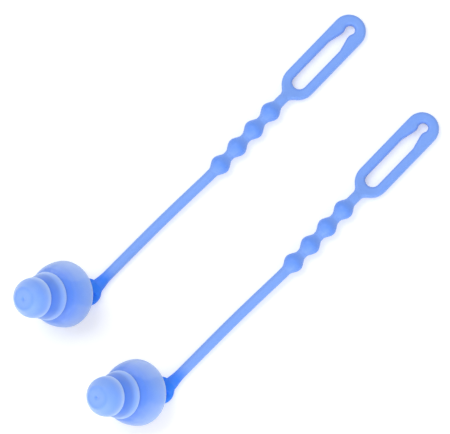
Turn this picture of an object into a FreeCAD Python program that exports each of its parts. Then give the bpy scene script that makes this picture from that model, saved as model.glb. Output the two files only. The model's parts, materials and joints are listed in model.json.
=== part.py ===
"""A pair of three-flange silicone ear plugs, each on a moulded leash with beads and a keyhole loop.

Millimetres, +Z up, lying on the floor plane z = 0. The origin is on the floor, under the middle of
the box round both plugs (their ear tips and stems). Each ear is built once about its foot point,
where the leaning axis of the plug meets the floor, and then copied to its two places.
"""

import math
import os

import FreeCAD
import Part

Vector = FreeCAD.Vector
UP = Vector(0, 0, 1)
ORIGIN = Vector(0, 0, 0)

# ---- how the plug stands -------------------------------------------------------------------------
lean_elevation = 50.6  # the plug's axis above the floor, degrees
lean_heading = 203.0  # the way the nose points, degrees from +X
pair_offset = Vector(14.6, -20.1, 0)  # from the left ear to the right ear

# ---- ear tip: radii, and distances back from the nose ---------------------------------------------
nose_dimple_radius = 0.42
nose_dimple_floor = 0.15
nose_dimple_depth = 0.22
nose_flat_radius = 1.9
nose_edge_radius = 2.65
nose_edge_back = 0.3
shoulder_radius = 3.78
shoulder_back = 1.8
flange_1_radius = 4.1
flange_1_back = 3.82
flange_2_radius = 4.86
flange_2_back = 7.9
flange_3_radius = 6.78
flange_3_back = 13.6
rim_tuck = 0.28  # how far the large flange's rim curls in from its widest place, and how far behind it
rim_reach = 1.1
rim_3_radius = flange_3_radius - rim_tuck
rim_3_back = flange_3_back + rim_reach
lip_1 = 0.22  # half the thickness of each flange's lip
lip_2 = 0.25
lip_3 = 0.3
valley_depth_1 = 0.47  # how far each groove runs forward under its flange
valley_depth_2 = 0.7
valley_gap_1 = 0.71  # from the flange's inner face in to the bottom of the groove
valley_gap_2 = 0.76
core_wall = 0.9  # the tube inside the large flange, round the socket
core_recess = 0.7  # how far the tube ends short of the rim
core_edge = 0.2
skirt_wall = 0.62
roof_behind = 1.6  # where the hollow inside the large flange ends, from the second flange's edge
roof_inward = 0.46
bell_foot_back = 1.45  # from the second flange to where the large one swells, and how much wider
bell_foot_widening = 0.59
inner_turn_forward = 2.2  # the bend in the large flange's inner face, forward of its widest place
inner_turn_inward = 0.46

# ---- how far each curved stretch stands out from its chord, outwards on the way from nose to rim ----
nose_edge_bulge = 0.11
shoulder_bulge = 0.09
cap_bulge = 0.08
dome_bulge = 0.44
flare_bulge = -0.08
bell_bulge = 0.23
curl_bulge = 0.09
inner_bulge = -0.37
roof_bulge = -0.18

# ---- stem: a post in the tip's socket, standing on a flat foot --------------------------------------
post_radius = 2.25
socket_clearance = 0.05
core_radius = post_radius + socket_clearance + core_wall
core_end_back = rim_3_back - core_recess
socket_end_back = 5.0
post_end_clearance = 0.2
foot_radius = 2.85
foot_height = 2.0
foot_centre = Vector(0.78, -0.30, 0)  # from the point where the plug's axis meets the floor
root_length = 3.0
root_radius = 1.9

# ---- leash: strap, beads, flexing necks ------------------------------------------------------------
strap_radius = 1.05
root_height = 2 * strap_radius
bead_count = 4
bead_radius = 1.95
bead_shoulder = 0.7  # from the end of the bead's whole ball back to where its crown stops
bead_crown_half = bead_radius - bead_shoulder
bead_dip_bulge = -0.08
bead_pitch = 4.93
bead_heading = 47.4
string_height = bead_radius  # the beads rest on the floor
strap_route = [
    Vector(3.90, 2.10, strap_radius),
    Vector(10.86, 9.32, strap_radius + 0.03),
    Vector(18.28, 16.75, 1.45),
    Vector(25.73, 23.79, string_height),
]
arc_share = 0.45  # of the shorter run, taken by the arc at each bend
neck_ball = 0.75
neck_clearance = 0.05
neck_cone = 60.0  # each neck's end stays inside this angle from its own axis, degrees
ball_latitude = 80.0  # the balls and cups end in small flats here, degrees

# ---- loop: lengths from the last neck ------------------------------------------------------------------
loop_heading = 46.7
loop_thickness = 2.0
loop_half_width = 3.4
loop_end_centre = 20.55
fork_start = 1.2
fork_turn = Vector(3.3, 2.33, 0)
fork_end = 6.0
bead_squeeze = 0.47  # how far a bead is squeezed at each side to pass through the slot
slot_half_width = bead_radius - bead_squeeze
slot_start_centre = 6.05
keyhole_beyond = 0.3  # the keyhole's centre, past the centre of the loop's round end
keyhole_centre = loop_end_centre + keyhole_beyond
keyhole_grip = 0.02  # how far it is smaller than the neck that it holds, on the radius
keyhole_radius = strap_radius - keyhole_grip
throat_half_width = 0.72
throat_length = 1.55  # from the keyhole's centre to the throat's wide end, and the taper before that
taper_length = 3.0
throat_start = keyhole_centre - throat_length
slot_taper_start = throat_start - taper_length
neck_landing = 4.2  # where the sloping neck has come down into the plate
fork_dip_bulge = -0.17
fork_crown_bulge = 0.27


def heading(degrees):
    """The level direction this many degrees from +X."""
    angle = math.radians(degrees)
    return Vector(math.cos(angle), math.sin(angle), 0)


def lean_axis():
    """The direction from the foot point to the nose."""
    rise = math.radians(lean_elevation)
    return heading(lean_heading) * math.cos(rise) + UP * math.sin(rise)


def aimed(shape, point, direction, start=Vector(1, 0, 0)):
    """A copy of the shape with its start direction turned to the direction, moved to the point."""
    placed = shape.copy()
    turn = FreeCAD.Placement(point, FreeCAD.Rotation(start, direction))
    placed.transformShape(turn.toMatrix(), True)
    return placed


def outline(start, steps):
    """A closed face in the XY plane. A step is the next corner, or a pair: the arc's middle, its end."""
    edges = []
    here = Vector(start[0], start[1], 0)
    for step in steps:
        if isinstance(step[0], tuple):
            middle = Vector(step[0][0], step[0][1], 0)
            there = Vector(step[1][0], step[1][1], 0)
            edges.append(Part.Arc(here, middle, there).toShape())
        else:
            there = Vector(step[0], step[1], 0)
            edges.append(Part.LineSegment(here, there).toShape())
        here = there
    first = Vector(start[0], start[1], 0)
    if (first - here).Length > 1e-6:
        edges.append(Part.LineSegment(here, first).toShape())
    return Part.Face(Part.Wire(edges))


def turned(start, steps):
    """The solid of revolution about +X of an outline given as (along, radius)."""
    return outline(start, steps).revolve(ORIGIN, Vector(1, 0, 0), 360)


def nose_distance():
    """How far the nose is from the foot point, with the large rim's lip on the floor."""
    rise = math.radians(lean_elevation)
    lip_ring = rim_3_radius - lip_3
    lip_height = (lip_3 + lip_ring * math.cos(rise)) / math.sin(rise)
    return lip_height + rim_3_back


def lip(radius, back, half):
    """The arc round a flange's lip, from its outer face to its inner one."""
    return ((back + half, radius - half), (back, radius - 2 * half))


def bulged(start, end, bulge):
    """The arc between two points that stands this far to the left of its chord."""
    chord = (end[0] - start[0], end[1] - start[1])
    length = math.hypot(*chord)
    middle = (
        (start[0] + end[0]) / 2 - chord[1] / length * bulge,
        (start[1] + end[1]) / 2 + chord[0] / length * bulge,
    )
    return (middle, end)


def ear_tip():
    """The three flanges, the hollow under the last one and the blind socket, about the plug's axis."""
    nose_flat = (0, nose_flat_radius)
    nose_edge = (nose_edge_back, nose_edge_radius)
    shoulder = (shoulder_back, shoulder_radius)
    flange_1 = (flange_1_back, flange_1_radius)
    flange_2 = (flange_2_back, flange_2_radius)
    flange_3 = (flange_3_back, flange_3_radius)
    rim_3 = (rim_3_back, rim_3_radius)
    valley_1 = (flange_1_back - valley_depth_1, flange_1_radius - 2 * lip_1 - valley_gap_1)
    valley_2 = (flange_2_back - valley_depth_2, flange_2_radius - 2 * lip_2 - valley_gap_2)
    bell_foot = (flange_2_back + bell_foot_back, flange_2_radius + bell_foot_widening)
    rim_inner = lip(rim_3_radius, rim_3_back, lip_3)[1]
    inner_turn = (
        flange_3_back - inner_turn_forward,
        flange_3_radius - skirt_wall - inner_turn_inward,
    )
    roof_back = flange_2_back + roof_behind
    roof = (roof_back, flange_2_radius - roof_inward)
    socket_radius = post_radius + socket_clearance
    steps = [
        (nose_dimple_depth, nose_dimple_floor),
        (0, nose_dimple_radius),
        nose_flat,
        bulged(nose_flat, nose_edge, nose_edge_bulge),
        bulged(nose_edge, shoulder, shoulder_bulge),
        bulged(shoulder, flange_1, cap_bulge),
        lip(flange_1_radius, flange_1_back, lip_1),
        valley_1,
        bulged(valley_1, flange_2, dome_bulge),
        lip(flange_2_radius, flange_2_back, lip_2),
        valley_2,
        bulged(valley_2, bell_foot, flare_bulge),
        bulged(bell_foot, flange_3, bell_bulge),
        bulged(flange_3, rim_3, curl_bulge),
        lip(rim_3_radius, rim_3_back, lip_3),
        bulged(rim_inner, inner_turn, inner_bulge),
        bulged(inner_turn, roof, roof_bulge),
        (roof_back, core_radius),
        (core_end_back - core_edge, core_radius),
        (core_end_back, core_radius - core_edge),
        (core_end_back, socket_radius),
        (socket_end_back, socket_radius),
        (socket_end_back, 0),
    ]
    solid = turned((nose_dimple_depth, 0), steps)
    return aimed(solid, lean_axis() * nose_distance(), lean_axis() * -1)


def round_end(radius, point, direction):
    """A ball with small flats where the direction passes through it."""
    return Part.makeSphere(radius, point, direction, -ball_latitude, ball_latitude)


def neck_cutter():
    """What a neck's end gives up at a bend centred on the origin, for a body that runs along +X."""
    reach = root_radius
    depth = reach / math.tan(math.radians(neck_cone))
    return turned((0, 0), [(depth, reach), (-reach, reach), (-reach, 0)])


def with_ball(body, point, direction):
    """The body's end at the point, narrowed and given the ball of the bend. It runs along direction."""
    narrowed = body.cut(aimed(neck_cutter(), point, direction))
    return narrowed.fuse(round_end(neck_ball, point, direction))


def with_cup(body, point, direction):
    """The body's end at the point, narrowed and hollowed for the next ball. It came along direction."""
    narrowed = body.cut(aimed(neck_cutter(), point, direction * -1))
    return narrowed.cut(round_end(neck_ball + neck_clearance, point, direction))


def slab(height):
    """A block on the floor, this high and wider than the whole stem."""
    side = 4 * nose_distance()
    return Part.makeBox(side, side, height, Vector(-side / 2, -side / 2, 0))


def stem():
    """The post, the flat foot it leans on, and the tapered root that the strap leaves by."""
    axis = lean_axis()
    post_end = nose_distance() - socket_end_back - post_end_clearance
    buried = 2 * post_radius
    post = Part.makeCylinder(post_radius, post_end + buried, axis * -buried, axis)
    foot = Part.makeCylinder(foot_radius, foot_height, foot_centre, UP)
    along = (strap_route[1] - strap_route[0]).normalize()
    root_start = strap_route[0] - along * root_length
    root = Part.makeCone(root_radius, strap_radius, root_length, root_start, along)
    root = root.common(slab(root_height))
    solid = post.common(slab(post_end + buried)).fuse([foot, root])
    return with_cup(solid, strap_route[0], along).removeSplitter()


def tube_path(points):
    """Straight runs joined by tangent arcs, and the arcs' radii."""
    edges = []
    radii = []
    here = points[0]
    for before, corner, after in zip(points, points[1:], points[2:]):
        back = (before - corner).normalize()
        ahead = (after - corner).normalize()
        shorter = min((before - corner).Length, (after - corner).Length)
        trim = arc_share * shorter
        half_turn = (math.pi - back.getAngle(ahead)) / 2
        radius = trim / math.tan(half_turn)
        centre = corner + (back + ahead).normalize() * (radius / math.cos(half_turn))
        middle = centre + (corner - centre).normalize() * radius
        arc_start = corner + back * trim
        arc_end = corner + ahead * trim
        edges.append(Part.LineSegment(here, arc_start).toShape())
        edges.append(Part.Arc(arc_start, middle, arc_end).toShape())
        radii.append(radius)
        here = arc_end
    edges.append(Part.LineSegment(here, points[-1]).toShape())
    return Part.Wire(edges), radii


def strap():
    """The plain round strap, from the stem's root to the first bead."""
    path, radii = tube_path(strap_route)
    first = (strap_route[1] - strap_route[0]).normalize()
    last = (strap_route[-1] - strap_route[-2]).normalize()
    ring = Part.Wire(Part.makeCircle(strap_radius, strap_route[0], first))
    tube = path.makePipeShell([ring], True, True)
    section = math.pi * strap_radius**2
    print("strap: radii", [round(radius, 1) for radius in radii])
    print("strap: length", round(path.Length, 3), "volume share", tube.Volume / (section * path.Length))
    return with_cup(with_ball(tube, strap_route[0], first), strap_route[-1], last)


def bead(number):
    """One bead with half a neck at each end."""
    along = heading(bead_heading)
    middle = strap_route[-1] + along * (bead_pitch * (number - 0.5))
    half = bead_pitch / 2
    crown_edge = math.sqrt(bead_radius**2 - bead_crown_half**2)
    crown_start = (-bead_crown_half, crown_edge)
    crown_end = (bead_crown_half, crown_edge)
    solid = turned(
        (-half, 0),
        [
            (-half, strap_radius),
            bulged((-half, strap_radius), crown_start, bead_dip_bulge),
            ((0, bead_radius), crown_end),
            bulged(crown_end, (half, strap_radius), bead_dip_bulge),
            (half, 0),
        ],
    )
    solid = aimed(solid, middle, along)
    return with_cup(with_ball(solid, middle - along * half, along), middle + along * half, along)


def last_neck():
    """Where the loop's neck bends from the last bead."""
    return strap_route[-1] + heading(bead_heading) * (bead_pitch * bead_count)


def loop_outline():
    """The flat loop with its fork and rounded end."""
    neck_side = (fork_start, strap_radius)
    turn = (fork_turn.x, fork_turn.y)
    rail = (fork_end, loop_half_width)
    below = [(along, -across) for along, across in (neck_side, turn, rail)]
    return outline(
        below[0],
        [
            neck_side,
            bulged(neck_side, turn, fork_dip_bulge),
            bulged(turn, rail, fork_crown_bulge),
            (loop_end_centre, loop_half_width),
            ((loop_end_centre + loop_half_width, 0), (loop_end_centre, -loop_half_width)),
            below[2],
            bulged(below[2], below[1], fork_crown_bulge),
            bulged(below[1], below[0], fork_dip_bulge),
        ],
    )


def slot_outline():
    """The slot, its throat and the keyhole at its end."""
    throat_end = keyhole_centre - math.sqrt(keyhole_radius**2 - throat_half_width**2)
    return outline(
        (slot_start_centre, slot_half_width),
        [
            (slot_taper_start, slot_half_width),
            (throat_start, throat_half_width),
            (throat_end, throat_half_width),
            ((keyhole_centre + keyhole_radius, 0), (throat_end, -throat_half_width)),
            (throat_start, -throat_half_width),
            (slot_taper_start, -slot_half_width),
            (slot_start_centre, -slot_half_width),
            ((slot_start_centre - slot_half_width, 0), (slot_start_centre, slot_half_width)),
        ],
    )


def loop():
    """The slotted loop, flat on the floor, with the neck that slopes down into it."""
    plate = loop_outline().extrude(UP * loop_thickness)
    through = slot_outline().extrude(UP * (loop_thickness * 3))
    through.translate(UP * -loop_thickness)
    start = Vector(0, 0, string_height)
    landing = Vector(neck_landing, 0, loop_thickness / 2)
    slope = landing - start
    neck = Part.makeCylinder(strap_radius, slope.Length, start, slope)
    neck = neck.fuse(Part.makeSphere(strap_radius, start))
    room = 2 * loop_half_width
    neck = neck.common(Part.makeBox(neck_landing, room, room, Vector(0, -room / 2, 0)))
    solid = with_ball(plate.fuse(neck), start, Vector(1, 0, 0)).cut(through)
    return aimed(solid.removeSplitter(), last_neck() - start, heading(loop_heading))


def ear():
    """Every piece of one ear, by name."""
    pieces = {"ear_tip": ear_tip(), "stem": stem(), "strap": strap()}
    for number in range(1, bead_count + 1):
        pieces[f"bead_{number}"] = bead(number)
    pieces["loop"] = loop()
    return pieces


def write_parts():
    """Both ears, each piece as one STEP file."""
    os.makedirs("parts", exist_ok=True)
    pieces = ear()
    plug_box = pieces["ear_tip"].fuse(pieces["stem"]).optimalBoundingBox()
    plug_middle = Vector(plug_box.Center.x, plug_box.Center.y, 0)
    for side, share in (("left", -0.5), ("right", 0.5)):
        move = pair_offset * share - plug_middle
        print(side, "foot point", [round(value, 4) for value in move])
        for name, shape in pieces.items():
            placed = shape.copy()
            placed.translate(move)
            placed.exportStep(f"parts/{name}_{side}.step")
            if side == "left":
                print(name, placed.ShapeType, len(placed.Solids), round(placed.Volume, 3), placed.isValid())


write_parts()
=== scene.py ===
"""A pair of soft three-flange ear plugs on moulded leashes: the silicone's look, in metres."""

import json
import math

import bpy
import numpy as np
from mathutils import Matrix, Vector


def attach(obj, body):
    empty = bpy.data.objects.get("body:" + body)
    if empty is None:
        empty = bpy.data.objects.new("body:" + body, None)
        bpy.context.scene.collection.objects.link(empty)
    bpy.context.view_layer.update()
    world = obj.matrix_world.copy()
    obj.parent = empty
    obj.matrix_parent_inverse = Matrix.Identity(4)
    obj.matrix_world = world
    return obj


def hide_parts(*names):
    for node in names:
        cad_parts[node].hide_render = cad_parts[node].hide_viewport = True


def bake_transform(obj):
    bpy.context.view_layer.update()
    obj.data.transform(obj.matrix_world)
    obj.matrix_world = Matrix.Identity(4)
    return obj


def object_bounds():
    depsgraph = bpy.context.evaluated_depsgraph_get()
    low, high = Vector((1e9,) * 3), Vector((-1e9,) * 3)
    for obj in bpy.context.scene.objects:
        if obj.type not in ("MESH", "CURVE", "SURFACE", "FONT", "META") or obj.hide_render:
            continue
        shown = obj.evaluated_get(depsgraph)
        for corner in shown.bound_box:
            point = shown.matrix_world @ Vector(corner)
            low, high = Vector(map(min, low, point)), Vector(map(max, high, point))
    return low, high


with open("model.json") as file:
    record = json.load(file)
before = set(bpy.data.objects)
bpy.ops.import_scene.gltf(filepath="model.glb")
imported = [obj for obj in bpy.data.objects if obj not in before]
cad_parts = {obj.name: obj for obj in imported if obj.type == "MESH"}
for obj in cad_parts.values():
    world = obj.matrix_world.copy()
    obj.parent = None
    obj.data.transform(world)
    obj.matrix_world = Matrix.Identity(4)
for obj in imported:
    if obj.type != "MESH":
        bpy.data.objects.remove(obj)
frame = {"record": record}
cad_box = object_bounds()

MM = 0.001
UP = Vector((0, 0, 1))
RECORD = frame["record"]
MOUNTS = {mount["name"]: mount for mount in RECORD["mounts"]}
JOINTS = {joint["name"]: joint for joint in RECORD["behaviour"]["joints"]}
SIDES = ("left", "right")

# ---- sizes shared with the construction, in metres --------------------------------------------------
STRAP_RADIUS = 1.05 * MM
STRAP_ROUTE = [
    Vector((0.00390, 0.00210, 0.00105)),
    Vector((0.01086, 0.00932, 0.00108)),
    Vector((0.01828, 0.01675, 0.00145)),
    Vector((0.02573, 0.02379, 0.00195)),
]
BEAD_RADIUS = 1.95 * MM
BEAD_COUNT = 4
BEAD_HEADING = 47.4  # degrees from +X
LOOP_HEADING = 46.7
LOOP_THICKNESS = 2.0 * MM
LOOP_LANDING = 5.2 * MM  # past the last neck, where the loop's middle has come down to the plate's
FOOT_RADIUS = 2.85 * MM
FOOT_HEIGHT = 2.0 * MM
POST_RADIUS = 2.25 * MM
POST_LENGTH = 14.8 * MM

# ---- the loop's outline, in millimetres past the last neck and to each side of its middle ------------
LOOP_START = 0.75  # hidden inside the last neck's skin
NECK_END = 1.2
FORK_BEND = (2.3, 1.54)
FORK_TURN = (3.3, 2.33)
FORK_CROWN = (4.35, 3.03)
FORK_END = 6.0
LOOP_HALF_WIDTH = 3.4
LOOP_END_CENTRE = 20.55
SLOT_START_CENTRE = 6.05
SLOT_HALF_WIDTH = 1.48
SLOT_TAPER_START = 16.3
THROAT_START = 19.3
THROAT_HALF_WIDTH = 0.72
KEYHOLE_MOUTH = 20.113
KEYHOLE_CENTRE = 20.85
KEYHOLE_RADIUS = 1.03
OUTER_PITCH = 0.15  # between points along the two outlines
SLOT_PITCH = 0.12

# ---- the soft skins, in metres -----------------------------------------------------------------------
TUBE_SIDES = 48
PARTING_LINE = 0.025 * MM  # how far the mould's seam stands out along each side
NECK_RINGS = 61  # along a skin between two beads
END_NECK_RINGS = 41  # along the first
ROOT_RINGS = 45
SHARP_EDGE = math.radians(60)  # only the hidden ends of the tubes are sharper than this
END_RING = 0.002  # of a skin's length, to the extra ring that keeps its shading even where it ends
SKIN_OVERLAP = 0.13 * MM  # how far a soft skin's end dips into the piece it joins
FLEX = 1.0 * MM  # a leash's first and last neck bend this far to both sides of their middle
BEAD_REACH = 2.2 * MM  # from a bead's middle to where its neck is plain
BEAD_FULLNESS = 0.77  # under 1 makes the crown rounder
STRAP_PITCH = 0.25 * MM  # between the strap's rings
STRAP_INSET = 0.015 * MM  # the strap's skin lies this far under the necks' skins
STRAP_TAPER = 1.3 * MM  # the length of each of its hidden tapered ends
STRAP_TIP = 0.4  # of the radius, at those ends
ROOT_DEPTH = 2.2 * MM  # how far the strap's root reaches back into the foot
ROOT_FLARE = 0.36 * MM  # how much thicker it is there
ROOT_FLARE_END = 1.2 * MM
ROOT_STUB = [  # the foot's side of the root, as (along, radius) from the strap's first point
    (-3.4 * MM, 0.0),
    (-3.3 * MM, 1.95 * MM),
    (-1.3 * MM, 1.30 * MM),
    (-1.0 * MM, 1.0 * MM),
    (-0.9 * MM, 0.0),
]
PLATE_BEVEL = 0.62 * MM
PLATE_VOXEL = 0.11 * MM
PLATE_PASSES = 4
ROUND_NECK = (1.2 * MM, 3.2 * MM)  # the loop's neck is round before the first and flat after the second
ROUND_INSET = 0.02 * MM  # the round neck lies this far under the last neck's skin
ROUND_CORE = 0.3 * MM  # nearer to its middle than this nothing is rounded
STEM_VOXEL = 0.12 * MM
STEM_PASSES = 22
STEM_SIDES = 64
POST_EDGE = 0.3 * MM
FOOT_EDGE = 0.8 * MM

# ---- the ear tip's skin, in millimetres --------------------------------------------------------------
TIP_SIDES = 128
TIP_PITCH = 0.08  # between points along its outline
TIP_INSET = 0.01  # keeps it inside the flat facets of its solid
ON_AXIS = 1e-6  # a smaller radius is a point on the axis
TIP_SWAY = ((2, 0.7, 0.05), (3, 2.1, 0.03))  # waves round the soft rim: how many, where, how high
SOFT_RADIUS = (3.6, 6.6)  # the waves grow with the radius
SOFT_BACK = (2.5, 14.0)  # and with the distance back from the nose
SKIRT_OUTER_SOLID = 0.86  # how far the large flange hides what is behind it, outside and inside
SKIRT_INNER_SOLID = 0.35
SKIRT_BACK = (8.4, 10.4)  # back from the nose, where the outside turns see-through
SKIRT_INSIDE = (3.9, 5.0)  # the radius, where the inside does
GROOVE_SOLID = 0.85  # how far the necks between the flanges hide what is behind them
GROOVE_LEVELS = (0.45, 0.80)  # the depths of colour between which they turn see-through

# ---- depth of colour: 0 is thin pale silicone, 1 is deep silicone where it is thickest; the grooves and the foot are deepened with painted shade ---
STRAP_LEVEL = 0.44
NECK_LEVEL = 0.47
BEAD_DEEPER = 0.20
LOOP_DEEPER = 0.04
LOOP_FADE = (2.5 * MM, 6.0 * MM)  # past the last neck, where the neck's depth turns into the loop's
# the foot's deep colour on the strap's root is partly painted shade under the bell
ROOT_DEEPER = 0.5
ROOT_FADE = (-0.5 * MM, 3.8 * MM)  # past the strap's first point, where the foot's depth fades
# the stem and foot are deep partly from thick silicone and partly as painted shade under the bell, darkest
# near the floor
STEM_LEVEL = 0.75
STEM_PALER = 0.25  # up the post
STEM_FADE = (2.0 * MM, 6.0 * MM)  # above the floor

# ---- studio ------------------------------------------------------------------------------------------
FLOOR_LIFT = 0.32  # added where the camera sees the floor, so that it is white but keeps its shadows
FLOOR_HALF = 6.0
FLOOR_DROP = 0.02 * MM
AMBIENT = 0.62
LAMPS = (  # name, place from the middle of the pair, size and power
    ("key", (-0.20, 0.14, 0.46), 0.34, 0.95),
    ("front", (0.04, -0.42, 0.19), 0.40, 0.95),
)
VIEW_ELEVATION = math.radians(77)  # of the camera above the floor
VIEW_TARGET = Vector((28.32, 15.33, 0)) * MM  # from the left plug's foot
VIEW_WIDTH = 90 * MM
LENS = 1500  # millimetres, on a sensor this wide
SENSOR = 36


# ---- small geometry helpers -------------------------------------------------------------------------
def heading(degrees):
    """The level direction this many degrees from +X."""
    angle = math.radians(degrees)
    return Vector((math.cos(angle), math.sin(angle), 0))


def smooth(value, low, high):
    """0 below low, 1 above high, and an even S between them."""
    share = np.clip((np.asarray(value, float) - low) / (high - low), 0, 1)
    return share * share * (3 - 2 * share)


def arc(first, middle, last, count):
    """Points along the circle through three points of a plane, without the first."""
    (ax, ay), (bx, by), (cx, cy) = first, middle, last
    double = 2 * (ax * (by - cy) + bx * (cy - ay) + cx * (ay - by))
    a2, b2, c2 = ax * ax + ay * ay, bx * bx + by * by, cx * cx + cy * cy
    ux = (a2 * (by - cy) + b2 * (cy - ay) + c2 * (ay - by)) / double
    uy = (a2 * (cx - bx) + b2 * (ax - cx) + c2 * (bx - ax)) / double
    radius = math.hypot(ax - ux, ay - uy)
    start = math.atan2(ay - uy, ax - ux)
    via = (math.atan2(by - uy, bx - ux) - start) % math.tau
    end = (math.atan2(cy - uy, cx - ux) - start) % math.tau
    sweep = end if via < end else end - math.tau
    turns = [start + sweep * (k + 1) / count for k in range(count)]
    return [(ux + radius * math.cos(t), uy + radius * math.sin(t)) for t in turns]


def traced(start, steps, pitch):
    """Points along lines and arcs, this far apart. A step is a corner, or an arc's middle and end."""
    points = [start]
    for step in steps:
        here = points[-1]
        if isinstance(step[0], tuple):
            chord = math.dist(here, step[0]) + math.dist(step[0], step[1])
            points += arc(here, step[0], step[1], max(4, round(chord / pitch)))
        else:
            count = max(1, round(math.dist(here, step) / pitch))
            points += [
                (here[0] + (step[0] - here[0]) * k / count, here[1] + (step[1] - here[1]) * k / count)
                for k in range(1, count + 1)
            ]
    return points


def softened(points, passes, closed=False):
    """The same points with their corners worn round, ends kept."""
    line = np.array(points, float)
    for _ in range(passes):
        if closed:
            line = 0.5 * line + 0.25 * (np.roll(line, 1, 0) + np.roll(line, -1, 0))
        else:
            line[1:-1] = 0.5 * line[1:-1] + 0.25 * (line[:-2] + line[2:])
    return line


def marked(mesh, name, values):
    """Stores one number a vertex under this name."""
    mesh.attributes.new(name, "FLOAT", "POINT").data.foreach_set("value", np.asarray(values, np.float32))


def band(first, second, sides):
    """Faces between two rings of this many vertices, given the first vertex of each."""
    return [
        (first + j, first + (j + 1) % sides, second + (j + 1) % sides, second + j)
        for j in range(sides)
    ]


def closing_fan(ring, hub, sides):
    """Faces between a ring and the vertex in its middle."""
    return [(ring + j, ring + (j + 1) % sides, hub) for j in range(sides)]


def new_object(name, vertices, faces, depth_and_shade=None):
    """A smooth-shaded mesh object. The number a vertex, if given, is how deep the silicone's colour is
    there, from its thickness and, in the tip's grooves and at the foot, from painted shade.
    """
    mesh = bpy.data.meshes.new(name)
    mesh.from_pydata([tuple(vertex) for vertex in vertices], [], faces)
    mesh.shade_smooth()
    mesh.update()
    if depth_and_shade is not None:
        marked(mesh, "depth_and_shade", depth_and_shade)
    piece = bpy.data.objects.new(name, mesh)
    bpy.context.scene.collection.objects.link(piece)
    return piece


def raise_off_floor(piece):
    """Flattens what would dip under the floor."""
    for vertex in piece.data.vertices:
        vertex.co.z = max(vertex.co.z, 0.0)


def tube(name, centres, radii, levels):
    """A closed round tube along the centres, one ring a centre, its ends dished in."""
    vertices, faces = [], []
    for k, centre in enumerate(centres):
        ahead = centres[min(k + 1, len(centres) - 1)] - centres[max(k - 1, 0)]
        ahead.normalize()
        across = ahead.cross(UP).normalized()
        lift = across.cross(ahead)
        for j in range(TUBE_SIDES):
            turn = math.tau * j / TUBE_SIDES
            reach = radii[k] + (PARTING_LINE if j % (TUBE_SIDES // 2) == 0 else 0)
            vertices.append(centre + (across * math.cos(turn) + lift * math.sin(turn)) * reach)
    last = len(centres) - 1
    for ring in range(0, last * TUBE_SIDES, TUBE_SIDES):
        faces += [(a, d, c, b) for a, b, c, d in band(ring, ring + TUBE_SIDES, TUBE_SIDES)]
    depth_and_shade = list(np.repeat(np.asarray(levels, float), TUBE_SIDES))
    for ring, deep in ((0, 2), (last, last - 2)):
        vertices.append(centres[deep])
        depth_and_shade.append(float(levels[ring]))
        fan = closing_fan(ring * TUBE_SIDES, len(vertices) - 1, TUBE_SIDES)
        faces += fan if ring == 0 else [face[::-1] for face in fan]
    piece = new_object(name, vertices, faces, depth_and_shade)
    piece.data.set_sharp_from_angle(angle=SHARP_EDGE)
    return piece


def bend_curve(start, corner, end, count):
    """Points along the curve that leaves start and reaches end, both towards the corner."""
    shares = [0, END_RING] + [k / (count - 1) for k in range(1, count - 1)] + [1 - END_RING, 1]
    return [start * (1 - t) ** 2 + corner * (2 * t * (1 - t)) + end * t**2 for t in shares]


# ---- materials --------------------------------------------------------------------------------------
class Wire:
    """A shader output that takes part in Python arithmetic."""

    def __init__(self, maker, socket):
        self.maker = maker
        self.socket = socket

    def _math(self, operation, first, second):
        return self.maker.node("ShaderNodeMath", {"operation": operation}, {0: first, 1: second})

    def __add__(self, other):
        return self._math("ADD", self, other)

    __radd__ = __add__

    def __mul__(self, other):
        return self._math("MULTIPLY", self, other)

    __rmul__ = __mul__

    def __sub__(self, other):
        return self._math("SUBTRACT", self, other)

    def __rsub__(self, other):
        return self._math("SUBTRACT", other, self)


class Finish:
    """A material or a world being made: its node tree, and one way to add a node."""

    def __init__(self, owner):
        self.owner = owner
        owner.use_nodes = True
        self.tree = owner.node_tree
        self.tree.nodes.clear()

    def node(self, kind, settings, sockets, output=0):
        """Adds a node, sets it up, then links or fills its sockets. Returns the wanted output."""
        made = self.tree.nodes.new(kind)
        for name, value in settings.items():
            setattr(made, name, value)
        for name, value in sockets.items():
            if isinstance(value, Wire):
                self.tree.links.new(value.socket, made.inputs[name])
            else:
                made.inputs[name].default_value = value
        return Wire(self, made.outputs[output])

    def stored(self, name):
        """The number that the mesh stores a vertex under this name."""
        return self.node("ShaderNodeAttribute", {"attribute_name": name}, {}, "Fac")

    def mixed(self, share, first, second):
        """A colour between two, by share."""
        settings = {"data_type": "RGBA", "blend_type": "MIX"}
        return self.node("ShaderNodeMix", settings, {0: share, 6: first, 7: second}, 2)

    def spots(self, size, detail=3.0):
        """Even cloudy noise from 0 to 1, with features about this many metres across."""
        place = self.node("ShaderNodeTexCoord", {}, {}, "Object")
        return self.node("ShaderNodeTexNoise", {}, {"Vector": place, "Scale": 1 / size, "Detail": detail})

    def seen_directly(self):
        """1 where the camera sees this, in a mirror or through glass too, and 0 where it only lights."""
        camera = self.node("ShaderNodeLightPath", {}, {}, "Is Camera Ray")
        mirror = self.node("ShaderNodeLightPath", {}, {}, "Is Glossy Ray")
        glass = self.node("ShaderNodeLightPath", {}, {}, "Is Transmission Ray")
        return camera + mirror + glass

    def output(self, shader, kind="ShaderNodeOutputMaterial"):
        """Makes this shader the surface."""
        end = self.tree.nodes.new(kind)
        self.tree.links.new(shader.socket, end.inputs["Surface"])
        return self.owner


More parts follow.
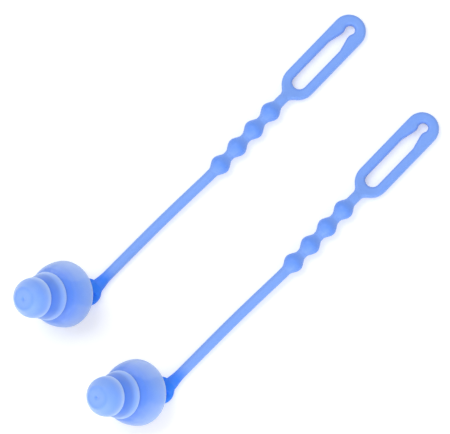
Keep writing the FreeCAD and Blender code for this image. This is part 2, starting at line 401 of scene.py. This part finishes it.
def silicone(name, pale, full, deep, scatter, sheen, see_through=False):
    """Soft satin silicone: pale where it is thin, deeper with thickness and where shade is painted into
    its grooves and foot, faintly cloudy.

    scatter is how much light spreads inside it and how far, sheen the dusty bloom along its edges.
    """
    finish = Finish(bpy.data.materials.new(name))
    cloud = finish.spots(1.6 * MM) - 0.5
    # the stored depth of colour holds painted shade in the grooves and at the foot, besides thickness
    level = finish.stored("depth_and_shade") + cloud * 0.16
    lower = finish.node("ShaderNodeMapRange", {}, {0: level, 1: 0.0, 2: 0.5})
    upper = finish.node("ShaderNodeMapRange", {}, {0: level, 1: 0.5, 2: 1.0})
    grain = finish.spots(0.09 * MM, 2.0)
    bloom = finish.spots(0.7 * MM, 4.0)
    height = grain * 0.35 + bloom * 0.65
    relief = {"Strength": 0.22, "Distance": 0.03 * MM, "Height": height}
    sockets = {
        "Base Color": finish.mixed(upper, finish.mixed(lower, pale, full), deep),
        "Roughness": 0.40 + bloom * 0.14,
        "Normal": finish.node("ShaderNodeBump", {}, relief),
        "IOR": 1.41,
        "Specular IOR Level": 0.45,
        "Subsurface Weight": scatter[0],
        "Subsurface Radius": (0.55, 0.8, 1.0),
        "Subsurface Scale": scatter[1],
        "Sheen Weight": sheen,
        "Sheen Roughness": 0.70,
        "Sheen Tint": (0.80, 0.90, 1.0, 1.0),
    }
    if see_through:
        sockets["Alpha"] = finish.stored("solid")
    return finish.output(finish.node("ShaderNodeBsdfPrincipled", {}, sockets))


TIP = silicone(
    "tip_silicone",
    pale=(0.245, 0.445, 0.97, 1),
    full=(0.112, 0.312, 0.98, 1),
    # deep: thick silicone, and the painted shade in the grooves
    deep=(0.010, 0.200, 1.00, 1),
    scatter=(0.45, 0.35 * MM),
    sheen=0.85,
    see_through=True,
)
STEM = silicone(
    "stem_silicone",
    pale=(0.160, 0.340, 0.95, 1),
    full=(0.025, 0.240, 1.00, 1),
    # deep colours: thick silicone, and painted shade under the bell
    deep=(0.006, 0.200, 1.00, 1),
    scatter=(0.25, 0.25 * MM),
    sheen=0.05,
)
LEASH = silicone(
    "leash_silicone",
    pale=(0.250, 0.430, 0.92, 1),
    full=(0.190, 0.365, 0.90, 1),
    deep=(0.016, 0.200, 0.95, 1),
    scatter=(0.0, 0.25 * MM),
    sheen=0.05,
)


# ---- ear tip ----------------------------------------------------------------------------------------
def tip_profile():
    """The tip's outline in millimetres, its depth of colour and how far it hides what is behind it.

    Each step is (back from the nose, radius), or an arc's middle and end, and the colour at its end:
    0 at a thin pale lip, 1 in a groove, where the deep colour is partly painted shade under the flange in
    front.
    """
    start = (0.22, 0.0)
    # the grooves' deep colour is partly painted shade under the flanges in front of them
    steps = [
        (((0.15, 0.23), (0.0, 0.42)), 0.45),
        ((0.0, 0.75), 0.30),
        ((0.0, 1.75), 0.36),
        ((0.0, 1.9), 0.52),
        (((0.075, 2.375), (0.3, 2.65)), 0.24),
        (((0.95, 3.255), (1.8, 3.78)), 0.50),
        (((2.3, 3.94), (2.7, 4.02)), 0.46),
        ((3.2, 4.085), 0.06),
        ((3.82, 4.1), 0.0),
        (((4.04, 3.88), (3.82, 3.66)), 0.35),
        ((3.35, 2.95), 1.0),
        (((4.35, 3.66), (5.7, 4.3)), 0.93),
        (((6.5, 4.57), (7.1, 4.73)), 0.32),
        ((7.55, 4.81), 0.05),
        ((7.9, 4.86), 0.0),
        (((8.15, 4.61), (7.9, 4.36)), 0.35),
        ((7.2, 3.6), 0.90),
        (((8.225, 4.375), (9.35, 5.45)), 0.78),
        (((10.0, 5.84), (10.8, 6.19)), 0.55),
        (((11.6, 6.42), (12.6, 6.62)), 0.34),
        (((13.2, 6.70), (13.9, 6.74)), 0.20),
        (((14.3, 6.66), (14.7, 6.5)), 0.05),
        (((15.0, 6.2), (14.7, 5.9)), 0.06),
        (((13.6, 6.16), (11.4, 5.7)), 0.6),
        (((10.3, 5.17), (9.5, 4.4)), 0.95),
        ((9.5, 3.2), 1.0),
        ((13.8, 3.2), 0.85),
        ((14.0, 3.0), 0.7),
        ((14.0, 2.3), 0.7),
        ((5.0, 2.3), 1.0),
        ((5.0, 0.0), 1.0),
    ]
    line, levels = [start], [0.6]
    for step, level in steps:
        stretch = traced(line[-1], [step], TIP_PITCH)[1:]
        line += stretch
        levels += list(np.linspace(levels[-1], level, len(stretch) + 1)[1:])
    line = softened(line, 4)
    levels = softened([[level] for level in levels], 6)[:, 0]
    back, radius = line[:, 0], np.maximum(line[:, 1], 0)
    return back, radius, levels, tip_solid(back, radius, levels)


def tip_solid(back, radius, levels):
    """How far the tip hides what is behind it: its skirt and grooves are a little see-through."""
    skirt = 1 - (1 - SKIRT_OUTER_SOLID) * smooth(back, *SKIRT_BACK)
    groove = 1 - (1 - GROOVE_SOLID) * smooth(levels, *GROOVE_LEVELS)
    inner = 1 - (1 - SKIRT_INNER_SOLID) * smooth(radius, *SKIRT_INSIDE)
    past_rim = np.arange(len(back)) > np.argmax(back)
    return np.where(past_rim, inner, np.minimum(skirt, groove))


def ear_tip(side):
    """The three flanges as one turned skin, a little uneven as soft rims are."""
    nose = Vector(MOUNTS[f"ear_canal_{side}"]["pos_m"])
    axis = Vector(MOUNTS[f"ear_canal_{side}"]["axis"]).normalized()
    across = axis.cross(UP).normalized()
    lift = across.cross(axis)
    back, radius, depth_and_shade, solid = tip_profile()
    soft = smooth(radius, *SOFT_RADIUS) * smooth(back, *SOFT_BACK)
    highest = sum(height for _, _, height in TIP_SWAY)
    vertices, faces, sizes = [], [], []
    for k in range(len(back)):
        centre = nose - axis * (back[k] * MM)
        on_axis = radius[k] < ON_AXIS
        sizes.append(1 if on_axis else TIP_SIDES)
        if on_axis:
            vertices.append(centre)
            continue
        for j in range(TIP_SIDES):
            turn = math.tau * j / TIP_SIDES
            sway = sum(math.sin(waves * turn + place) * height for waves, place, height in TIP_SWAY)
            reach = (radius[k] - TIP_INSET + (sway - highest) * soft[k]) * MM
            vertices.append(centre + (across * math.cos(turn) + lift * math.sin(turn)) * reach)
    starts = np.cumsum([0] + sizes)
    for k in range(len(sizes) - 1):
        here, onward = int(starts[k]), int(starts[k + 1])
        if sizes[k] == 1:
            faces += [face[::-1] for face in closing_fan(onward, here, TIP_SIDES)]
        elif sizes[k + 1] == 1:
            faces += closing_fan(here, onward, TIP_SIDES)
        else:
            faces += band(here, onward, TIP_SIDES)
    piece = new_object(f"ear_tip_{side}_skin", vertices, faces, np.repeat(depth_and_shade, sizes))
    marked(piece.data, "solid", np.repeat(solid, sizes))
    raise_off_floor(piece)
    piece.data.materials.append(TIP)
    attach(piece, f"ear_tip_{side}")
    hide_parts(f"ear_tip_{side}")


# ---- leash ------------------------------------------------------------------------------------------
def route_line(points, name):
    """Points along the smooth curve that a cord with this route follows."""
    curve = bpy.data.curves.new(name, "CURVE")
    curve.dimensions = "3D"
    curve.resolution_u = 24
    spline = curve.splines.new("NURBS")
    spline.points.add(len(points) - 1)
    for place, point in zip(spline.points, points):
        place.co = (*point, 1)
    spline.order_u = 3
    spline.use_endpoint_u = True
    holder = bpy.data.objects.new(name, curve)
    mesh = bpy.data.meshes.new_from_object(holder)
    line = [vertex.co.copy() for vertex in mesh.vertices]
    bpy.data.objects.remove(holder)
    bpy.data.curves.remove(curve)
    bpy.data.meshes.remove(mesh)
    return line


def distances(line):
    """How far along the line each of its points is."""
    steps = [(b - a).length for a, b in zip(line, line[1:])]
    return np.cumsum([0.0] + steps)


def resampled(line, spacing):
    """The same line with points about this far apart, and how far along each is."""
    along = distances(line)
    wanted = np.linspace(0, along[-1], round(along[-1] / spacing) + 1)
    axes = [np.interp(wanted, along, [point[k] for point in line]) for k in range(3)]
    return [Vector(point) for point in zip(*axes)], wanted


def bead_swell(distance):
    """The leash's radius this far from a bead's middle: a round crown on wide soft shoulders."""
    wave = (1 + np.cos(math.pi * np.clip(np.abs(distance) / BEAD_REACH, 0, 1))) / 2
    return STRAP_RADIUS + (BEAD_RADIUS - STRAP_RADIUS) * wave**BEAD_FULLNESS


def leash_piece(piece, *nodes):
    """Gives a leash piece its finish and hides the CAD nodes that it stands for."""
    piece.data.materials.append(LEASH)
    if nodes:
        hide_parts(*nodes)


def loop_middle(side, onward):
    """The point in the middle of the loop's thickness, this far past the last neck."""
    point = Vector(JOINTS[f"loop_bend_{side}"]["pos_m"]) + heading(LOOP_HEADING) * onward
    low = LOOP_THICKNESS / 2
    point.z = low + (point.z - low) * (1 - float(smooth(onward, 0.0, LOOP_LANDING)))
    return point


def sunk(radii, travel, low, high):
    """The radii with the end between low and high drawn in under the next piece."""
    return radii - SKIN_OVERLAP * smooth(travel, low, high)


def neck_levels(radii):
    """The depth of colour of a neck's skin: the beads are thicker, and look deeper."""
    return NECK_LEVEL + BEAD_DEEPER * (radii - STRAP_RADIUS) / (BEAD_RADIUS - STRAP_RADIUS)


def strap_levels(travel):
    """The strap's depth of colour: the foot's deep colour, partly painted shade under the bell, fades
    along its first stretch.
    """
    return STRAP_LEVEL + ROOT_DEEPER * (1 - smooth(travel, *ROOT_FADE))


def neck_skins(side):
    """The soft leash round each neck, from the middle of one bead to the middle of the next."""
    along = heading(BEAD_HEADING)
    leaving = (STRAP_ROUTE[-1] - STRAP_ROUTE[-2]).normalized()
    necks = [Vector(JOINTS[f"neck_bend_{k}_{side}"]["pos_m"]) for k in range(1, BEAD_COUNT + 1)]
    half = (necks[1] - necks[0]).length / 2
    beads = [neck + along * half for neck in necks]

    line = bend_curve(necks[0] - leaving * BEAD_REACH, necks[0], beads[0], END_NECK_RINGS)
    to_bead = distances(line)[-1] - distances(line)
    radii = sunk(bead_swell(to_bead), to_bead, to_bead[0] - FLEX, to_bead[0])
    first = tube(f"neck_1_{side}", line, radii, neck_levels(radii))
    leash_piece(first, f"bead_1_{side}")
    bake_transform(first)

    between = []
    for k in range(1, BEAD_COUNT):
        line = bend_curve(beads[k - 1], necks[k], beads[k], NECK_RINGS)
        travel = distances(line)
        radii = bead_swell(np.minimum(travel, travel[-1] - travel))
        piece = tube(f"neck_{k + 1}_{side}", line, radii, neck_levels(radii))
        leash_piece(piece, f"bead_{k + 1}_{side}")
        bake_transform(piece)
        between.append(piece)

    before = [beads[-1] + along * (half * share) for share in (0, END_RING, *np.linspace(0.05, 0.95, 19))]
    shares = (*np.linspace(0, 0.95, 20), 1 - END_RING, 1)
    line = before + [loop_middle(side, BEAD_REACH * share) for share in shares]
    travel = distances(line)
    radii = sunk(bead_swell(travel), travel, travel[-1] - FLEX, travel[-1])
    end = tube(f"neck_{BEAD_COUNT + 1}_{side}", line, radii, neck_levels(radii))
    leash_piece(end)
    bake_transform(end)
    return [first, *between, end]


def strap(side, foot_point, others):
    """The plain strap, with its tapered ends inside the soft necks."""
    line = route_line([foot_point + point for point in STRAP_ROUTE], f"strap_{side}_line")
    line, travel = resampled(line, STRAP_PITCH)
    from_end = np.minimum(travel, travel[-1] - travel)
    radii = (STRAP_RADIUS - STRAP_INSET) * (STRAP_TIP + (1 - STRAP_TIP) * smooth(from_end, 0, STRAP_TAPER))
    piece = tube(f"strap_{side}_cord", line, radii, strap_levels(travel))
    leash_piece(piece, f"strap_{side}")
    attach(piece, f"strap_{side}")


def root_skin(side, foot_point):
    """The soft root where the strap bends out of the foot."""
    root = foot_point + STRAP_ROUTE[0]
    along = (STRAP_ROUTE[1] - STRAP_ROUTE[0]).normalized()
    travel = np.linspace(-ROOT_DEPTH, BEAD_REACH, ROOT_RINGS)
    flare = ROOT_FLARE * (1 - smooth(travel, -ROOT_DEPTH, ROOT_FLARE_END))
    radii = sunk(STRAP_RADIUS + flare, travel, BEAD_REACH - FLEX, BEAD_REACH)
    line = [root + along * float(distance) for distance in travel]
    piece = tube(f"strap_root_{side}", line, radii, strap_levels(travel))
    raise_off_floor(piece)
    leash_piece(piece)
    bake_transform(piece)


def remesh(piece, voxel, passes):
    """Makes the piece one even skin, its creases softened."""
    even = piece.modifiers.new("even", "REMESH")
    even.mode = "VOXEL"
    even.voxel_size = voxel
    soft = piece.modifiers.new("soft", "SMOOTH")
    soft.factor = 0.5
    soft.iterations = passes
    bpy.context.view_layer.update()
    finished = piece.evaluated_get(bpy.context.evaluated_depsgraph_get())
    shape = bpy.data.meshes.new_from_object(finished)
    piece.modifiers.clear()
    piece.data = shape
    shape.shade_smooth()


def plate(outer, inner, depth):
    """A flat plate with rounded edges, from an outline and a hole."""
    curve = bpy.data.curves.new("plate", "CURVE")
    curve.dimensions = "2D"
    curve.fill_mode = "BOTH"
    curve.extrude = depth / 2 - PLATE_BEVEL
    curve.bevel_depth = PLATE_BEVEL
    curve.bevel_resolution = 5
    curve.offset = -PLATE_BEVEL
    for points in (outer, inner):
        spline = curve.splines.new("POLY")
        spline.points.add(len(points) - 1)
        for place, point in zip(spline.points, points):
            place.co = (*point, 0, 1)
        spline.use_cyclic_u = True
    holder = bpy.data.objects.new("plate", curve)
    bpy.context.scene.collection.objects.link(holder)
    bpy.context.view_layer.update()
    mesh = bpy.data.meshes.new_from_object(holder)
    bpy.data.objects.remove(holder)
    return mesh


def mirrored(point):
    """The same place on the other side of the loop's middle."""
    return (point[0], -point[1])


def loop_outlines():
    """The loop's outer outline and its slot, about the last neck, in metres."""
    neck_half_width = STRAP_RADIUS / MM
    outer = traced(
        (LOOP_START, -neck_half_width),
        [
            (LOOP_START, neck_half_width),
            (NECK_END, neck_half_width),
            (FORK_BEND, FORK_TURN),
            (FORK_CROWN, (FORK_END, LOOP_HALF_WIDTH)),
            (LOOP_END_CENTRE, LOOP_HALF_WIDTH),
            ((LOOP_END_CENTRE + LOOP_HALF_WIDTH, 0.0), (LOOP_END_CENTRE, -LOOP_HALF_WIDTH)),
            (FORK_END, -LOOP_HALF_WIDTH),
            (mirrored(FORK_CROWN), mirrored(FORK_TURN)),
            (mirrored(FORK_BEND), (NECK_END, -neck_half_width)),
            (LOOP_START, -neck_half_width),
        ],
        OUTER_PITCH,
    )
    inner = traced(
        (SLOT_START_CENTRE, SLOT_HALF_WIDTH),
        [
            (SLOT_TAPER_START, SLOT_HALF_WIDTH),
            (THROAT_START, THROAT_HALF_WIDTH),
            (KEYHOLE_MOUTH, THROAT_HALF_WIDTH),
            ((KEYHOLE_CENTRE + KEYHOLE_RADIUS, 0.0), (KEYHOLE_MOUTH, -THROAT_HALF_WIDTH)),
            (THROAT_START, -THROAT_HALF_WIDTH),
            (SLOT_TAPER_START, -SLOT_HALF_WIDTH),
            (SLOT_START_CENTRE, -SLOT_HALF_WIDTH),
            ((SLOT_START_CENTRE - SLOT_HALF_WIDTH, 0.0), (SLOT_START_CENTRE, SLOT_HALF_WIDTH)),
        ],
        SLOT_PITCH,
    )
    return softened(outer[:-1], 6, closed=True) * MM, softened(inner[:-1], 4, closed=True) * MM


def loop(side):
    """The slotted loop, its neck rounded and raised to the height of the beads."""
    outer, inner = loop_outlines()
    piece = bpy.data.objects.new(f"loop_{side}_skin", plate(outer, inner, LOOP_THICKNESS))
    bpy.context.scene.collection.objects.link(piece)
    remesh(piece, PLATE_VOXEL, PLATE_PASSES)
    across = UP.cross(heading(LOOP_HEADING))
    levels = []
    for vertex in piece.data.vertices:
        x, y, z = vertex.co
        ring = math.hypot(y, z)
        if ring > ROUND_CORE:
            roundness = 1 - float(smooth(x, *ROUND_NECK))
            scale = 1 + ((STRAP_RADIUS - ROUND_INSET) / ring - 1) * roundness
            y, z = y * scale, z * scale
        vertex.co = loop_middle(side, x) + across * y + UP * z
        levels.append(NECK_LEVEL + LOOP_DEEPER * float(smooth(x, *LOOP_FADE)))
    raise_off_floor(piece)
    marked(piece.data, "depth_and_shade", levels)
    leash_piece(piece, f"loop_{side}")
    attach(piece, f"loop_{side}")
    return piece


# ---- stem -------------------------------------------------------------------------------------------
def turned(profile, origin, axis):
    """Vertices and faces of a closed turned solid. Its profile is (along, radius), ends on the axis."""
    across = axis.cross(Vector((0.31, 0.77, 0.55))).normalized()
    lift = across.cross(axis)
    vertices = [origin + axis * profile[0][0]]
    for along, radius in profile[1:-1]:
        for j in range(STEM_SIDES):
            turn = math.tau * j / STEM_SIDES
            spoke = across * math.cos(turn) + lift * math.sin(turn)
            vertices.append(origin + axis * along + spoke * radius)
    vertices.append(origin + axis * profile[-1][0])
    rings = [1 + k * STEM_SIDES for k in range(len(profile) - 2)]
    faces = [face[::-1] for face in closing_fan(rings[0], 0, STEM_SIDES)]
    for ring, onward in zip(rings, rings[1:]):
        faces += band(ring, onward, STEM_SIDES)
    faces += closing_fan(rings[-1], len(vertices) - 1, STEM_SIDES)
    return vertices, faces


def rounded_rod(radius, length, edge):
    """A rod's profile with rounded ends."""
    turns = [math.pi / 2 * k / 6 for k in range(7)]
    start = [(edge - edge * math.cos(t), radius - edge + edge * math.sin(t)) for t in turns]
    end = [(length - edge + edge * math.sin(t), radius - edge + edge * math.cos(t)) for t in turns]
    return [(0.0, 0.0), *start, *end, (length, 0.0)]


def stem(side, foot_point):
    """The post, the round foot and the root of the strap, grown together."""
    axis = Vector(MOUNTS[f"ear_canal_{side}"]["axis"]).normalized()
    foot = Vector(MOUNTS[f"foot_{side}"]["pos_m"])
    root = foot_point + STRAP_ROUTE[0]
    along = (STRAP_ROUTE[1] - STRAP_ROUTE[0]).normalized()
    vertices, faces = [], []
    for profile, origin, direction in (
        (rounded_rod(POST_RADIUS, POST_LENGTH, POST_EDGE), foot_point, axis),
        (rounded_rod(FOOT_RADIUS, FOOT_HEIGHT, FOOT_EDGE), foot, UP),
        (ROOT_STUB, root, along),
    ):
        base = len(vertices)
        new_vertices, new_faces = turned(profile, origin, direction)
        vertices += new_vertices
        faces += [tuple(base + index for index in face) for face in new_faces]
    piece = new_object(f"stem_{side}_skin", vertices, faces)
    raise_off_floor(piece)
    remesh(piece, STEM_VOXEL, STEM_PASSES)
    raise_off_floor(piece)
    heights = [vertex.co.z for vertex in piece.data.vertices]
    # deepest near the floor: thick silicone with painted shade under the bell
    marked(piece.data, "depth_and_shade", STEM_LEVEL - STEM_PALER * smooth(heights, *STEM_FADE))
    piece.data.materials.append(STEM)
    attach(piece, f"stem_{side}")
    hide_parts(f"stem_{side}")


# ---- studio -----------------------------------------------------------------------------------------
def studio():
    """A pale floor, a white surround and soft lamps."""
    scene = bpy.context.scene
    scene.view_settings.view_transform = "Standard"

    finish = Finish(bpy.data.materials.new("studio_floor"))
    cloud = finish.spots(30 * MM)
    paper = finish.mixed(cloud, (0.86, 0.87, 0.88, 1), (0.88, 0.88, 0.89, 1))
    matt = finish.node("ShaderNodeBsdfDiffuse", {}, {"Color": paper})
    lift = finish.seen_directly() * FLOOR_LIFT
    glow = finish.node("ShaderNodeEmission", {}, {"Color": (1, 1, 1, 1), "Strength": lift})
    material = finish.output(finish.node("ShaderNodeAddShader", {}, {0: matt, 1: glow}))
    corners = [(-1, -1, 0), (1, -1, 0), (1, 1, 0), (-1, 1, 0)]
    floor = new_object("studio_floor", [Vector(corner) * FLOOR_HALF for corner in corners], [(0, 1, 2, 3)])
    floor.location.z = -FLOOR_DROP
    floor.data.materials.append(material)

    world = Finish(bpy.data.worlds.new("studio"))
    strength = AMBIENT + world.seen_directly() * (1 - AMBIENT)
    sky = world.node("ShaderNodeBackground", {}, {"Color": (1, 1, 1, 1), "Strength": strength})
    scene.world = world.output(sky, "ShaderNodeOutputWorld")

    middle = (Vector(cad_box[0]) + Vector(cad_box[1])) / 2
    middle.z = 0
    for name, offset, size, power in LAMPS:
        lamp = bpy.data.lights.new(name, "AREA")
        lamp.shape = "DISK"
        lamp.size = size
        lamp.energy = power
        holder = bpy.data.objects.new(name, lamp)
        holder.location = middle + Vector(offset)
        holder.rotation_euler = (-Vector(offset)).to_track_quat("-Z", "Y").to_euler()
        scene.collection.objects.link(holder)


def camera(left_foot_point):
    """A long lens, nearly straight down, with the leashes running to the upper right."""
    back = Vector((0, -math.cos(VIEW_ELEVATION), math.sin(VIEW_ELEVATION)))
    lens = bpy.data.cameras.new("camera")
    lens.lens = LENS
    lens.sensor_width = SENSOR
    distance = VIEW_WIDTH * LENS / SENSOR
    holder = bpy.data.objects.new("camera", lens)
    holder.location = left_foot_point + VIEW_TARGET + back * distance
    holder.rotation_euler = (-back).to_track_quat("-Z", "Y").to_euler()
    lens.clip_start = 0.01
    lens.clip_end = 100
    bpy.context.scene.collection.objects.link(holder)
    bpy.context.scene.camera = holder


foot_points = {
    side: Vector(JOINTS[f"strap_root_bend_{side}"]["pos_m"]) - STRAP_ROUTE[0] for side in SIDES
}
camera(foot_points["left"])
for side in SIDES:
    strap(side, foot_points[side], neck_skins(side) + [loop(side)])
    root_skin(side, foot_points[side])
    ear_tip(side)
    stem(side, foot_points[side])
studio()
